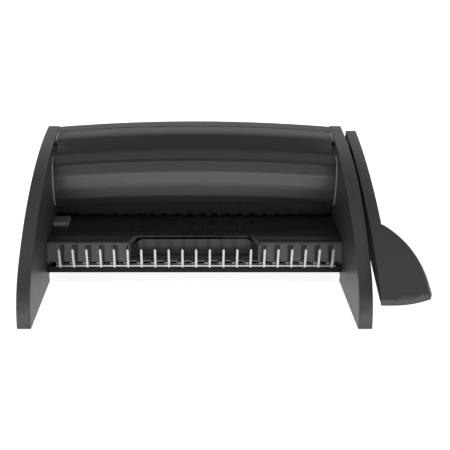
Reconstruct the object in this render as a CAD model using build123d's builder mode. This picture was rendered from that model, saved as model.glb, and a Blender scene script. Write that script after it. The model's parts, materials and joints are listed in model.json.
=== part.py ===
from build123d import *
import os
from math import acos, atan2, cos, hypot, pi, radians, sin, sqrt, tan

# A hand-lever comb binding machine: it punches a row of slots along a sheet's edge and opens a
# plastic comb so that the punched sheets can be hung on its rings.
# Sketches are set out in machine coordinates: x from the centre plane to the right, y from the
# toes of the side panels to the back, z up from the table. The helper planes below shift them so
# that the origin of every finished piece is the bottom centre of the whole machine's box.

os.makedirs("parts", exist_ok=True)

# ---------------------------------------------------------------- driving dimensions (mm)
inside_width = 312.0            # between the side panels: room for a 297 mm sheet edge
panel_depth = 216.2             # toe to the top rear corner of a side panel
panel_height = 136.3            # table to the top rear corner
rear_rake = 5.8                 # how much further back the foot of the rear edge stands
panel_width = 13.5
panel_wall = 2.5                # inner wall of a side panel
panel_rim = 3.0                 # rim around the hollow of a side panel
toe_height = 2.0                # start of the front curve above the table
toe_angle = 78.0                # slope of the front edge at the toe
toe_radius = 95.0               # tight lower part of the front curve
toe_turn = 35.0
corner_radius = 4.0
pad_gap = 1.0                   # the rubber pads hold the panels this far off the table
arch_height = 8.0               # clear height between the front and rear foot of a panel
arch_front = 90.0
arch_back = 185.0
cap_thick = 2.5                 # outer cover plate of a side panel
cap_seat = 2.0                  # rim left around the cap
cap_clearance = 0.15

crown_rise = 6.5                # the covers are this much higher in the middle than at the ends
cover_thick = 2.5
cover_gap = 0.3                 # each end of a cover to its side panel
parting_y = 196.8               # joint between the front cover and the rear cover

deck_thick = 3.0                # paper table
deck_back = 154.8
bevel_back = 104.0
beam_top_y = 94.0               # top front edge of the beam
beam_drop = 3.0                 # height of the bevel behind that edge
beam_foot_y = 87.0              # bottom front edge of the beam
beam_foot_z = 26.2
beam_wall = 3.0
recess_front_half = 67.0        # finger recess at the beam's face
recess_back_half = 60.0
lobe_radius = 3.0
rib_depth = 6.0                 # thickness of the beam behind its face
slot_depth = 4.2                # how far the prong slots run into that face
slot_half = 1.2
slot_roof = 1.8                 # solid edge left above the prong slots

prong_count = 21
prong_pitch = 14.2875           # nine sixteenths of an inch
prong_offset = 1.7              # the row stands this far right of the centre plane
prong_width = 2.2
prong_thick = 1.5
prong_front = 82.2
prong_top = 43.5
plate_bottom = 22.3             # steel plate that carries the prongs
plate_thick = 1.5
plate_back = 107.0
window_front = 88.2             # windows between the prongs, where the rings pass
window_back = 97.0
channel_bottom = 14.7           # front channel under the steel plate
channel_front = 84.5
channel_wall = 1.5
slide_gap = 0.3                 # sliding clearance between flat faces
slide_thick = 1.5
slide_front = 91.0              # front edge of the hook slide's plate
slide_back = 127.0
hook_length = 4.4
hook_width = 4.8

wall_front = 153.0              # upright wall above the paper slot
wall_thick = 2.5
mouth_height = 4.4              # paper slot at its mouth
throat_height = 2.0             # paper slot between the punch plates
die_thick = 3.0
die_front = 155.0
die_back = 170.0
guide_top = 60.0
guide_back = 166.0
pin_y = 161.0                   # row of punch pins
pin_length_x = 8.0
pin_length_y = 3.0
pin_fit = 0.06                  # running clearance of a pin in its slot
pin_bottom = 42.0
bar_bottom = 62.0
bar_top = 75.0
bar_thick = 9.0
pin_seat = 8.0                  # depth of a pin in the punch bar
stop_strip = 2.5                # paper back stop

pivot_y = 182.0                 # lever shaft
pivot_z = 116.0
lever_shaft_radius = 5.0
shaft_radius = 4.0              # punch shaft and hook shaft
bush_wall = 2.0
run_fit = 0.05                  # radial clearance of a running shaft
push_fit = 0.02                 # radial clearance of a part fixed on its shaft
train_module = 1.25             # gear train in the right panel
lever_teeth = 16
shaft_teeth = 20
idler_teeth = 44
gear_width = 6.0
rack_module = 1.0               # pinions and racks
pinion_teeth = 16
pinion_width = 6.0
pinion_room = 0.85              # from the tips of the hook pinions to the deck above them
backlash = 0.2
pressure = radians(20)
addendum = 0.9
dedendum = 1.15
punch_drop = 20.4               # the punch shaft lies this far below the lever shaft
hook_shaft_y = 121.0
lever_swing = radians(110)

arm_gap = 3.0                   # lever arm to side panel
arm_width = 11.5
arm_tip_y = -5.0
arm_tip_z = 37.5
arm_heel_y = 200.0
arm_heel_z = 134.5
arm_bow = 13.5
paddle_reach = 36.8             # paddle beyond the outer face of the arm
paddle_root_y = 66.0
paddle_thick = 5.0
paddle_sweep = 5.0              # the outer front corner stands this far back of the arm's tip
tip_edge = 1.6                  # height of the thin front edge of arm and paddle
tip_slope = 5.5                 # how far back the underside of the arm's tip slopes
collar_radius = 12.0

tray_front = 146.0
tray_half = 140.0
tray_top = 37.0
tray_wall = 1.8
pan_thick = 2.0
pan_top = 9.0

guide_travel = 9.0              # paper edge guide
guide_size_x = 17.0
guide_size_y = 17.5
guide_front = 128.5
guide_height = 4.0

label_half = 76.0
label_front = 106.5
label_back = 151.0
label_thick = 0.2

# ---------------------------------------------------------------- worked out from them
plate_front = prong_front + prong_thick
inner_x = inside_width / 2
outer_x = inner_x + panel_width
hollow_x = inner_x + panel_wall
cap_x = outer_x - cap_thick
arm_x = outer_x + arm_gap
arm_outer_x = arm_x + arm_width
cover_x = inner_x - cover_gap
rear_y = panel_depth + rear_rake
middle_x = (arm_outer_x + paddle_reach - outer_x) / 2
middle_y = (arm_tip_y + rear_y) / 2
crown_radius = (cover_x**2 + crown_rise**2) / (2 * crown_rise)

lever_gear_radius = lever_teeth * train_module / 2
shaft_gear_radius = shaft_teeth * train_module / 2
idler_radius = idler_teeth * train_module / 2
pinion_radius = pinion_teeth * rack_module / 2
pinion_tip = pinion_radius + addendum * rack_module
punch_z = pivot_z - punch_drop
punch_y = pivot_y - sqrt((lever_gear_radius + shaft_gear_radius) ** 2 - punch_drop**2)
stroke = pinion_radius * lever_swing * lever_teeth / shaft_teeth

slide_bottom = plate_bottom + plate_thick + slide_gap
slide_top = slide_bottom + slide_thick
hook_rack_base = 0.5            # solid of the rack below its teeth
hook_rack_line = slide_top + hook_rack_base + dedendum * rack_module
hook_shaft_z = hook_rack_line + pinion_radius
deck_top = hook_shaft_z + pinion_tip + pinion_room + deck_thick
beam_top_z = deck_top - beam_drop
punch_rack_line = punch_y + pinion_radius

prong_places = [prong_offset + prong_pitch * (n - (prong_count - 1) / 2) for n in range(prong_count)]


def side_plane(x):
    """Upright plane across the machine at x: its own x runs back and its own y runs up."""
    return Plane(origin=(x - middle_x, -middle_y, 0), x_dir=(0, 1, 0), z_dir=(1, 0, 0))


def level_plane(z):
    """Level plane at height z: its own x runs right and its own y runs back."""
    return Plane(origin=(-middle_x, -middle_y, z), x_dir=(1, 0, 0), z_dir=(0, 0, 1))


def front_plane(y):
    """Upright plane facing the user at y: its own x runs right and its own y runs up."""
    return Plane(origin=(-middle_x, y - middle_y, 0), x_dir=(1, 0, 0), z_dir=(0, -1, 0))


def save(piece, name):
    """Label a finished piece and write it."""
    piece.label = name
    export_step(piece, f"parts/{name}.step")


def meeting_point(first, first_reach, second, second_reach, side):
    """Point at the given distances from two centres, on one side of the line between them."""
    gap = hypot(second[0] - first[0], second[1] - first[1])
    along = (gap**2 + first_reach**2 - second_reach**2) / (2 * gap)
    off = side * sqrt(first_reach**2 - along**2)
    ux = (second[0] - first[0]) / gap
    uy = (second[1] - first[1]) / gap
    return (first[0] + along * ux - off * uy, first[1] + along * uy + off * ux)


# ---------------------------------------------------------------- gears and racks
def gear_points(centre, teeth, module, phase):
    """Outline of an involute gear with one tooth centred on the angle phase."""
    pitch_radius = teeth * module / 2
    base_radius = pitch_radius * cos(pressure)
    tip_radius = pitch_radius + addendum * module
    root_radius = pitch_radius - dedendum * module
    half_tooth = pi / (2 * teeth) - backlash / (2 * pitch_radius)
    low_radius = max(base_radius, root_radius)
    steps = [low_radius + (tip_radius - low_radius) * part for part in (0, 0.5, 1)]
    flank = []
    for radius in steps:
        spread = acos(min(1.0, base_radius / radius))
        flank.append((radius, half_tooth + tan(pressure) - pressure - tan(spread) + spread))
    if root_radius < low_radius:
        flank.insert(0, (root_radius, flank[0][1]))
    points = []
    for tooth in range(teeth):
        middle = phase + 2 * pi * tooth / teeth
        for side, run in ((-1, flank), (1, flank[::-1])):
            for radius, half in run:
                angle = middle + side * half
                points.append((centre[0] + radius * cos(angle), centre[1] + radius * sin(angle)))
    return points


def meshed_phase(first, first_teeth, first_phase, second, second_teeth):
    """Phase of a second gear whose gap faces a tooth of the first on the line between them."""
    facing = atan2(second[1] - first[1], second[0] - first[0])
    return facing + pi - (first_phase - facing) * first_teeth / second_teeth + pi / second_teeth


def rack_points(start, end, gap_at, back):
    """Outline of a rack along its own x, pitch line on its own y = 0, a gap centred at gap_at."""
    pitch = pi * rack_module
    tip = addendum * rack_module
    root = -dedendum * rack_module
    half = pitch / 4 - backlash / 2
    points = [(start, back), (end, back), (end, root)]
    count = int((end - start) / pitch) + 3
    first = gap_at + pitch / 2 + pitch * round((start - gap_at) / pitch)
    centres = [first + pitch * n for n in range(-1, count)]
    inside = [c for c in centres if start + half + tan(pressure) < c < end - half - tan(pressure)]
    for middle in reversed(inside):
        points.append((middle + half - root * tan(pressure), root))
        points.append((middle + half - tip * tan(pressure), tip))
        points.append((middle - half + tip * tan(pressure), tip))
        points.append((middle - half + root * tan(pressure), root))
    points.append((start, root))
    return points


def rack_gap(phase, toward):
    """Offset along a rack of the gap that takes a pinion's tooth, from the pinion's axis."""
    step = 2 * pi / pinion_teeth
    turn = (phase - toward) % step
    return pinion_radius * turn


def gear_part(centre, teeth, module, phase, bore, x_start, width):
    """A spur gear with a hub bore, lying across the machine from x_start."""
    with BuildPart() as gear:
        with BuildSketch(side_plane(x_start)):
            with BuildLine():
                Polyline(*gear_points(centre, teeth, module, phase), close=True)
            make_face()
            with Locations(centre):
                Circle(bore, mode=Mode.SUBTRACT)
        extrude(amount=width)
    return gear.part


lever_axis = (pivot_y, pivot_z)
punch_axis = (punch_y, punch_z)
hook_axis = (hook_shaft_y, hook_shaft_z)
mesh_distance = shaft_gear_radius + idler_radius
idler_axis = meeting_point(punch_axis, mesh_distance, hook_axis, mesh_distance, 1)
lever_phase = 0.0
punch_phase = meshed_phase(lever_axis, lever_teeth, lever_phase, punch_axis, shaft_teeth)
idler_phase = meshed_phase(punch_axis, shaft_teeth, punch_phase, idler_axis, idler_teeth)
hook_phase = meshed_phase(idler_axis, idler_teeth, idler_phase, hook_axis, shaft_teeth)
gear_x = hollow_x + 1.2         # inner face of the gears, clear of the bush flanges


# ---------------------------------------------------------------- side panels
screw_places = [(30, 30), (95, 70), (204, 24), (204, 120)]
boss_radius = 4.0
cap_screw_radius = 1.5
cap_head_radius = 3.0
cap_head = 1.6
block_size = 10.0               # screw blocks on the inner walls
block_front_y = 122.0
block_back_y = 205.0
rear_screw_heights = (58.0, 108.0)
pad_length = 24.0
pad_width = 8.0
pad_thick = 3.0
pad_places = (28.0, 70.0, 203.0)


def rear_edge(z):
    """y of the panels' rear edge at height z."""
    return panel_depth + rear_rake * (panel_height - z) / (panel_height - pad_gap)


def panel_outline():
    """Side view of a panel: curved front and top, raked rear edge, arch between two feet."""
    with BuildLine() as outline:
        toe = (cos(radians(toe_angle)), sin(radians(toe_angle)))
        shin = JernArc((0, toe_height), toe, toe_radius, -toe_turn)
        brow = TangentArc(shin @ 1, (panel_depth, panel_height), tangent=shin % 1)
        Polyline(
            brow @ 1,
            (rear_y, pad_gap),
            (arch_back, pad_gap),
            (arch_back, pad_gap + arch_height),
            (arch_front, pad_gap + arch_height),
            (arch_front, pad_gap),
            (1.0, pad_gap),
            (0, toe_height),
        )
    return outline.line


with BuildSketch(Plane.XY) as panel_face:
    add(panel_outline())
    make_face()
    top_corner = panel_face.vertices().sort_by(Axis.Y)[-1]
    fillet(top_corner, corner_radius)
    fillet(panel_face.vertices().filter_by(lambda v: 80 < v.X < 195 and v.Y > pad_gap + 1), 2.0)


def inset_face(amount):
    """The panel's side view moved inward by an amount, kept above the solid feet."""
    with BuildSketch(Plane.XY) as inset:
        add(panel_face.sketch)
        offset(amount=-amount, mode=Mode.REPLACE)
        feet_top = pad_gap + arch_height + panel_rim
        with Locations((panel_depth / 2, feet_top / 2 - 25)):
            Rectangle(panel_depth * 2, feet_top + 50, mode=Mode.SUBTRACT)
    return inset.sketch


def side_panel(side):
    """One side moulding: inner wall, rim, screw bosses, solid feet and bearing holes."""
    with BuildPart() as panel:
        with BuildSketch(side_plane(inner_x)):
            add(panel_face.sketch)
        extrude(amount=panel_width)
        long_edges = panel.edges().filter_by(lambda e: e.length > 60)
        top_edges = [e for e in long_edges if e.center().Z > pad_gap + arch_height + 5]
        fillet(top_edges, 1.2)
        with BuildSketch(side_plane(hollow_x)):
            add(inset_face(panel_rim))
        extrude(amount=panel_width, mode=Mode.SUBTRACT)
        with BuildSketch(side_plane(cap_x)):
            add(inset_face(cap_seat))
        extrude(amount=panel_width, mode=Mode.SUBTRACT)
        with BuildSketch(side_plane(hollow_x)):
            with Locations(*screw_places):
                Circle(boss_radius)
        extrude(amount=cap_x - hollow_x)
        with BuildSketch(side_plane(inner_x - block_size)):
            with Locations((block_front_y, pan_top + 4), (block_back_y, pan_top + 4)):
                Rectangle(block_size, 8)
            with Locations(*[(rear_edge(z) - cover_thick - 4.6, z) for z in rear_screw_heights]):
                Rectangle(8, block_size)
        extrude(amount=block_size)
        holes = [(punch_axis, shaft_radius + bush_wall), (hook_axis, shaft_radius + bush_wall)]
        if side > 0:
            holes.append((lever_axis, lever_shaft_radius + bush_wall))
            holes.append((idler_axis, shaft_radius))
        with BuildSketch(side_plane(inner_x - 1)):
            for place, radius in holes:
                with Locations(place):
                    Circle(radius + push_fit)
        extrude(amount=panel_wall + 2, mode=Mode.SUBTRACT)
        with BuildSketch(side_plane(cap_x)):
            with Locations(*screw_places):
                Circle(cap_screw_radius)
        extrude(amount=-6, mode=Mode.SUBTRACT)
        with BuildSketch(level_plane(pan_top)):
            with Locations(*[(inner_x - block_size / 2, y) for y in (block_front_y, block_back_y)]):
                Circle(cap_screw_radius)
        extrude(amount=6, mode=Mode.SUBTRACT)
        with BuildSketch(front_plane(rear_y)):
            with Locations(*[(inner_x - block_size / 2, z) for z in rear_screw_heights]):
                Circle(cap_screw_radius)
        extrude(amount=18, mode=Mode.SUBTRACT)
        with BuildSketch(level_plane(pad_gap)):
            with Locations(*[(inner_x + panel_width / 2, y) for y in pad_places]):
                SlotOverall(pad_length, pad_width, rotation=90)
        extrude(amount=pad_thick - pad_gap, mode=Mode.SUBTRACT)
    if side > 0:
        return panel.part
    with BuildPart() as left:
        add(panel.part)
        mirror(about=side_plane(0), mode=Mode.REPLACE)
    return left.part


def side_cap(side):
    """Outer cover plate of a panel, screwed into the bosses."""
    with BuildPart() as cap:
        with BuildSketch(side_plane(cap_x)):
            add(inset_face(cap_seat + cap_clearance))
            with Locations(*screw_places):
                Circle(cap_screw_radius + 0.2, mode=Mode.SUBTRACT)
            if side > 0:
                with Locations(lever_axis):
                    Circle(lever_shaft_radius + bush_wall + push_fit, mode=Mode.SUBTRACT)
        extrude(amount=cap_thick)
        with BuildSketch(side_plane(outer_x)):
            with Locations(*screw_places):
                Circle(cap_head_radius + 0.2)
        extrude(amount=-cap_head, mode=Mode.SUBTRACT)
    if side > 0:
        return cap.part
    with BuildPart() as left:
        add(cap.part)
        mirror(about=side_plane(0), mode=Mode.REPLACE)
    return left.part


for side, word in ((1, "right"), (-1, "left")):
    save(side_panel(side), f"{word}_side_panel")
    save(side_cap(side), f"{word}_side_cap")

with BuildPart() as cap_screws:
    with BuildSketch(side_plane(outer_x)):
        with Locations(*screw_places):
            Circle(cap_head_radius)
    extrude(amount=-cap_head + 0.02)
    with BuildSketch(side_plane(outer_x - cap_head + 0.02)):
        with Locations(*screw_places):
            Circle(cap_screw_radius - 0.02)
    extrude(amount=-6)
    with BuildSketch(side_plane(outer_x)):
        with Locations(*screw_places):
            Rectangle(3.6, 0.8)
            Rectangle(0.8, 3.6)
    extrude(amount=-0.9, mode=Mode.SUBTRACT)
    mirror(about=side_plane(0))
save(cap_screws.part, "cap_screws")

with BuildPart() as rubber_feet:
    with BuildSketch(level_plane(0)):
        with Locations(*[(inner_x + panel_width / 2, y) for y in pad_places]):
            SlotOverall(pad_length - 0.2, pad_width - 0.2, rotation=90)
    extrude(amount=pad_thick)
    mirror(about=side_plane(0))
save(rubber_feet.part, "rubber_feet")


# ---------------------------------------------------------------- covers
def crowned(path_points, bend_radius):
    """A cover: a bent strip of the given side view, arched gently from side to side."""
    axis = Axis((-middle_x, -middle_y, panel_height - crown_radius), (0, 1, 0))
    with BuildPart() as cover:
        with BuildSketch(side_plane(0)):
            with BuildLine():
                FilletPolyline(*path_points, radius=bend_radius)
            trace(line_width=cover_thick)
        revolve(axis=axis, revolution_arc=6)
        mirror(about=side_plane(0))
        with BuildSketch(side_plane(-cover_x)):
            with Locations((panel_depth / 2, panel_height / 2)):
                Rectangle(panel_depth * 2, panel_height * 2)
        extrude(amount=2 * cover_x, mode=Mode.INTERSECT)
    return cover.part


half_thick = cover_thick / 2
clip_front = 160.0              # notch for the retaining clip at each end of the front cover
clip_back = 181.0
clip_width = 3.0
lip_rise = 4.0                  # the lower edge arches up by this much in the middle
lip_end = 65.0
# centre line of the sheet at the middle of the machine, from the rear joint down to the lip
cover_path = [
    (parting_y - 0.1, 140.4 - half_thick),
    (183.0, 136.2 - half_thick),
    (161.5, 124.9),
    (152.6, 117.4),
    (147.6, 104.0),
    (145.25, 90.0),
    (146.0, 78.0),
    (149.3, 64.0),
]
with BuildPart() as front_cover:
    add(crowned(cover_path, [30, 24, 8, 14, 22, 16]))
    with BuildSketch(front_plane(100)):
        with BuildLine():
            lip = ThreePointArc((-inner_x - 5, lip_end), (0, lip_end + lip_rise), (inner_x + 5, lip_end))
            Polyline(lip @ 1, (inner_x + 5, lip_end - 40), (-inner_x - 5, lip_end - 40), lip @ 0)
        make_face()
    extrude(amount=-100, mode=Mode.SUBTRACT)
    with BuildSketch(level_plane(panel_height - 40)):
        for end in (-1, 1):
            with Locations((end * (cover_x - clip_width / 2 + 1), (clip_front + clip_back) / 2)):
                Rectangle(clip_width + 2, clip_back - clip_front)
    extrude(amount=60, mode=Mode.SUBTRACT)
save(front_cover.part, "front_cover")

tray_gap = 1.0
rear_cut = tray_top + tray_gap
rear_path = [
    (parting_y + 0.3, 140.5 - half_thick),
    (panel_depth - half_thick, panel_height + crown_rise - half_thick),
    (rear_edge(pan_top) - half_thick, pan_top + crown_rise),
]
with BuildPart() as rear_cover:
    add(crowned(rear_path, [5]))
    with BuildSketch(front_plane(rear_y + 5)):
        with Locations((0, rear_cut - 40)):
            Rectangle(2 * tray_half + 2 * tray_gap, 80)
        with Locations((0, pan_top - 20 - slide_gap)):
            Rectangle(2 * inner_x + 10, 40)
    extrude(amount=30, mode=Mode.SUBTRACT)
    with BuildSketch(front_plane(rear_y + 5)):
        for end in (-1, 1):
            with Locations(*[(end * (inner_x - block_size / 2), z) for z in rear_screw_heights]):
                Circle(cap_screw_radius + 0.2)
    extrude(amount=20, mode=Mode.SUBTRACT)
    vent_width = 3.0
    with BuildSketch(front_plane(rear_y + 5)):
        with GridLocations(9, 1, 12, 1):
            with Locations((0, 96)):
                SlotOverall(26, vent_width, rotation=90)
    extrude(amount=20, mode=Mode.SUBTRACT)
save(rear_cover.part, "rear_cover")

with BuildPart() as rear_cover_screws:
    for height in rear_screw_heights:
        face_y = rear_edge(height) + 0.25
        with BuildSketch(front_plane(face_y + 1.4)):
            with Locations((inner_x - block_size / 2, height)):
                Circle(cap_head_radius)
                Rectangle(3.6, 0.8, mode=Mode.SUBTRACT)
                Rectangle(0.8, 3.6, mode=Mode.SUBTRACT)
        extrude(amount=0.8)
        with BuildSketch(front_plane(face_y + 0.6)):
            with Locations((inner_x - block_size / 2, height)):
                Circle(cap_head_radius)
        extrude(amount=0.6)
        with BuildSketch(front_plane(face_y)):
            with Locations((inner_x - block_size / 2, height)):
                Circle(cap_screw_radius - 0.02)
        extrude(amount=8)
    mirror(about=side_plane(0))
save(rear_cover_screws.part, "rear_cover_screws")

# one spring-steel clip in the notch at each end of the front cover
with BuildPart() as cover_clips:
    with BuildSketch(side_plane(inner_x - clip_width + 0.4)):
        with BuildLine():
            FilletPolyline((164.5, 117.6), (166.0, 121.2), (173.5, 125.0), (176.5, 123.0), radius=1.2)
        trace(line_width=0.8)
    extrude(amount=clip_width - 0.4)
    mirror(about=side_plane(0))
save(cover_clips.part, "cover_clips")


# ---------------------------------------------------------------- deck, beam and label
with BuildPart() as deck:
    with BuildSketch(side_plane(-cover_x)):
        with BuildLine():
            Polyline(
                (deck_back, deck_top),
                (bevel_back, deck_top),
                (beam_top_y, beam_top_z),
                (beam_foot_y, beam_foot_z),
                (beam_foot_y + rib_depth + 2, beam_foot_z),
                (beam_top_y + rib_depth + 1, beam_top_z - 2.2),
                (bevel_back + 5, deck_top - deck_thick),
                (deck_back, deck_top - deck_thick),
                close=True,
            )
        make_face()
    extrude(amount=2 * cover_x)
    # the rib between the beam's face and the deck is hollowed by the prong slots
    for place in prong_places:
        if abs(place) > recess_front_half + slot_half:
            with BuildSketch(side_plane(place - slot_half)):
                with BuildLine():
                    Polyline(
                        (beam_foot_y - slot_depth, beam_foot_z),
                        (beam_foot_y + slot_depth, beam_foot_z),
                        (beam_top_y + slot_depth, beam_top_z - slot_roof),
                        (beam_top_y - slot_depth, beam_top_z - slot_roof),
                        close=True,
                    )
                make_face()
            extrude(amount=2 * slot_half, mode=Mode.SUBTRACT)
    # the faces between the slots are rounded lobes
    face_front = beam_top_y - middle_y - 1
    flank_limit = hypot(beam_top_y - beam_foot_y, beam_top_z - beam_foot_z) - 0.5
    flanks = deck.edges().filter_by(lambda e: 15 < e.length < flank_limit and e.center().Y < face_front)
    fillet(flanks, lobe_radius)
    # finger recess with its own splayed side walls and rear wall
    with BuildSketch(level_plane(0)):
        with BuildLine():
            Polyline(
                (-recess_front_half, beam_foot_y - 5),
                (recess_front_half, beam_foot_y - 5),
                (recess_front_half, beam_top_y),
                (recess_back_half, bevel_back),
                (-recess_back_half, bevel_back),
                (-recess_front_half, beam_top_y),
                close=True,
            )
        make_face()
    extrude(amount=80, mode=Mode.SUBTRACT)
    with BuildSketch(level_plane(beam_foot_z)):
        with BuildLine():
            Polyline(
                (-recess_front_half - beam_wall, beam_top_y),
                (-recess_back_half - beam_wall, bevel_back + beam_wall),
                (recess_back_half + beam_wall, bevel_back + beam_wall),
                (recess_front_half + beam_wall, beam_top_y),
                (recess_front_half, beam_top_y),
                (recess_back_half, bevel_back),
                (-recess_back_half, bevel_back),
                (-recess_front_half, beam_top_y),
                close=True,
            )
        make_face()
    extrude(amount=beam_top_z - 2.6 - beam_foot_z)
    with BuildSketch(level_plane(beam_foot_z)):
        with Locations((0, bevel_back + beam_wall / 2)):
            Rectangle(2 * recess_back_half, beam_wall)
    extrude(amount=deck_top - 0.5 - beam_foot_z)
    # slot for the stem of the paper edge guide
    stem_x = 3.0
    stem_y = 8.0
    stem_start = -inner_x + 1.5
    guide_middle = guide_front + guide_size_y / 2
    with BuildSketch(level_plane(deck_top - deck_thick - 1)):
        with Locations((stem_start + (stem_x + guide_travel) / 2, guide_middle)):
            Rectangle(stem_x + guide_travel + 0.4, stem_y + 0.4)
    extrude(amount=deck_thick + 2, mode=Mode.SUBTRACT)
save(deck.part, "deck")

with BuildPart() as deck_label:
    with BuildSketch(level_plane(deck_top)):
        with Locations((0, (label_front + label_back) / 2)):
            RectangleRounded(2 * label_half, label_back - label_front, 1.5)
    extrude(amount=label_thick)
save(deck_label.part, "deck_label")

with BuildPart() as edge_guide:
    with BuildSketch(level_plane(deck_top + 0.1)):
        with Locations((-inner_x + 0.2 + guide_size_x / 2, guide_middle)):
            RectangleRounded(guide_size_x, guide_size_y, 1.5)
    extrude(amount=guide_height)
    top_face = edge_guide.faces().sort_by(Axis.Z)[-1]
    chamfer(top_face.edges(), 0.6)
    with BuildSketch(level_plane(deck_top + 0.1 + guide_height)):
        with Locations((-inner_x + guide_size_x - 4, guide_middle)):
            Rectangle(1.6, guide_size_y - 3)
    extrude(amount=1.2)
    with BuildSketch(level_plane(deck_top - deck_thick - 0.4)):
        with Locations((stem_start + stem_x / 2, guide_middle)):
            Rectangle(stem_x, stem_y)
    extrude(amount=deck_thick + 0.6)
save(edge_guide.part, "edge_guide")

with BuildPart() as guide_keeper:
    with BuildSketch(level_plane(deck_top - deck_thick - 1.9)):
        with Locations((stem_start + 5 + stem_x / 2 - 1.2, guide_middle)):
            Rectangle(10, stem_y + 5)
    extrude(amount=1.5)
save(guide_keeper.part, "guide_keeper")


# ---------------------------------------------------------------- comb opener
with BuildPart() as comb_plate:
    plate_half = prong_pitch * (prong_count - 1) / 2 + 5
    with BuildSketch(level_plane(plate_bottom)):
        with Locations((prong_offset, (plate_front + plate_back) / 2)):
            Rectangle(2 * plate_half, plate_back - plate_front)
        window = prong_pitch - prong_width - 5.4
        for place in prong_places[:-1]:
            with Locations((place + prong_width / 2 + window / 2 + 0.2, (window_front + window_back) / 2)):
                Rectangle(window, window_back - window_front, mode=Mode.SUBTRACT)
    extrude(amount=plate_thick)
    plate_screws = [prong_offset + prong_pitch * n for n in (-9.5, -4.5, 0.5, 4.5, 9.5)]
    with BuildSketch(level_plane(plate_bottom)):
        with Locations(*[(x, 102) for x in plate_screws]):
            Circle(1.5)
    extrude(amount=plate_thick, mode=Mode.SUBTRACT)
    with BuildSketch(level_plane(plate_bottom + plate_thick - 1.0)):
        with Locations(*[(x, 102) for x in plate_screws]):
            Circle(3.0)
    extrude(amount=1.0, mode=Mode.SUBTRACT)
save(comb_plate.part, "comb_plate")

# the prongs are welded to the plate's front edge
with BuildPart() as comb_prongs:
    with BuildSketch(front_plane(prong_front)):
        for place in prong_places:
            with Locations((place, (plate_bottom + prong_top - prong_width / 2) / 2)):
                Rectangle(prong_width, prong_top - prong_width / 2 - plate_bottom)
            with Locations((place, prong_top - prong_width / 2)):
                Circle(prong_width / 2)
    extrude(amount=-prong_thick)
save(comb_prongs.part, "comb_prongs")

with BuildPart() as comb_channel:
    flange_z = plate_bottom - channel_wall
    rear_web = 99.0
    with BuildSketch(side_plane(-inner_x)):
        with BuildLine():
            Polyline(
                (channel_front, plate_bottom),
                (channel_front, channel_bottom),
                (rear_web, channel_bottom),
                (rear_web, flange_z),
                (plate_back, flange_z),
                (plate_back, plate_bottom),
                (rear_web - channel_wall, plate_bottom),
                (rear_web - channel_wall, channel_bottom + channel_wall),
                (channel_front + channel_wall, channel_bottom + channel_wall),
                (channel_front + channel_wall, plate_bottom),
                close=True,
            )
        make_face()
    extrude(amount=2 * inner_x)
    with BuildSketch(level_plane(flange_z)):
        with Locations(*[(x, 102) for x in plate_screws]):
            Circle(1.5)
    extrude(amount=channel_wall, mode=Mode.SUBTRACT)
save(comb_channel.part, "comb_channel")

with BuildPart() as comb_plate_screws:
    with BuildSketch(level_plane(plate_bottom + plate_thick - 0.98)):
        with Locations(*[(x, 102) for x in plate_screws]):
            Circle(2.9)
    extrude(amount=0.93)
    with BuildSketch(level_plane(flange_z - 2)):
        with Locations(*[(x, 102) for x in plate_screws]):
            Circle(1.45)
    extrude(amount=plate_bottom + plate_thick - 0.98 - flange_z + 2)
save(comb_plate_screws.part, "comb_plate_screws")

rack_half = 2.5                 # half the width of a hook rack
slide_half = inner_x - 2.5      # the slide's plate runs between its guides
rack_x = slide_half - rack_half
with BuildPart() as hook_slide:
    with BuildSketch(level_plane(slide_bottom)):
        with Locations((0, (slide_front + slide_back) / 2)):
            Rectangle(2 * slide_half, slide_back - slide_front)
        for place in prong_places:
            left = place - prong_width / 2 - 0.2 - hook_width
            right = place - prong_width / 2 - 0.2
            with BuildLine():
                Polyline(
                    (left, slide_front + 0.5),
                    (left + 1.2, slide_front - hook_length),
                    (right, slide_front - hook_length),
                    (right, slide_front + 0.5),
                    close=True,
                )
            make_face()
        # lightening windows
        with Locations((0, slide_back - 8)):
            with GridLocations(46, 1, 6, 1):
                SlotOverall(34, 8, mode=Mode.SUBTRACT)
    extrude(amount=slide_thick)
save(hook_slide.part, "hook_slide")

hook_gap_at = rack_gap(hook_phase, -pi / 2)
rack_margin = 4.5
with BuildPart() as hook_racks:
    rack_plane = Plane(
        origin=(rack_x - rack_half - middle_x, hook_shaft_y - middle_y, hook_rack_line),
        x_dir=(0, 1, 0),
        z_dir=(1, 0, 0),
    )
    with BuildSketch(rack_plane):
        with BuildLine():
            run = rack_points(-stroke - rack_margin, rack_margin, hook_gap_at, slide_top - hook_rack_line)
            Polyline(*run, close=True)
        make_face()
    extrude(amount=2 * rack_half)
    mirror(about=side_plane(0))
save(hook_racks.part, "hook_racks")

with BuildPart() as slide_guides:
    guide_lip = plate_bottom
    guide_rim = beam_foot_z - 0.2
    with BuildSketch(side_plane(inner_x)):
        with Locations(((slide_front - 4 + slide_back + stroke) / 2, (guide_lip + guide_rim) / 2)):
            Rectangle(slide_back + stroke - slide_front + 2, guide_rim - guide_lip)
    extrude(amount=slide_half + slide_gap - inner_x)
    with BuildSketch(side_plane(inner_x)):
        with Locations(((slide_front - 4 + slide_back + stroke) / 2, (guide_lip + slide_bottom - 0.1) / 2)):
            Rectangle(slide_back + stroke - slide_front + 2, slide_bottom - 0.1 - guide_lip)
    extrude(amount=-5)
    mirror(about=side_plane(0))
save(slide_guides.part, "slide_guides")


# ---------------------------------------------------------------- punch
def pin_slots(clearance):
    """The row of punch slots, drawn on a level plane."""
    with BuildSketch(Plane.XY) as slots:
        with Locations(*[(place, pin_y) for place in prong_places]):
            Rectangle(pin_length_x + 2 * clearance, pin_length_y + 2 * clearance)
    return slots.sketch


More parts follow.
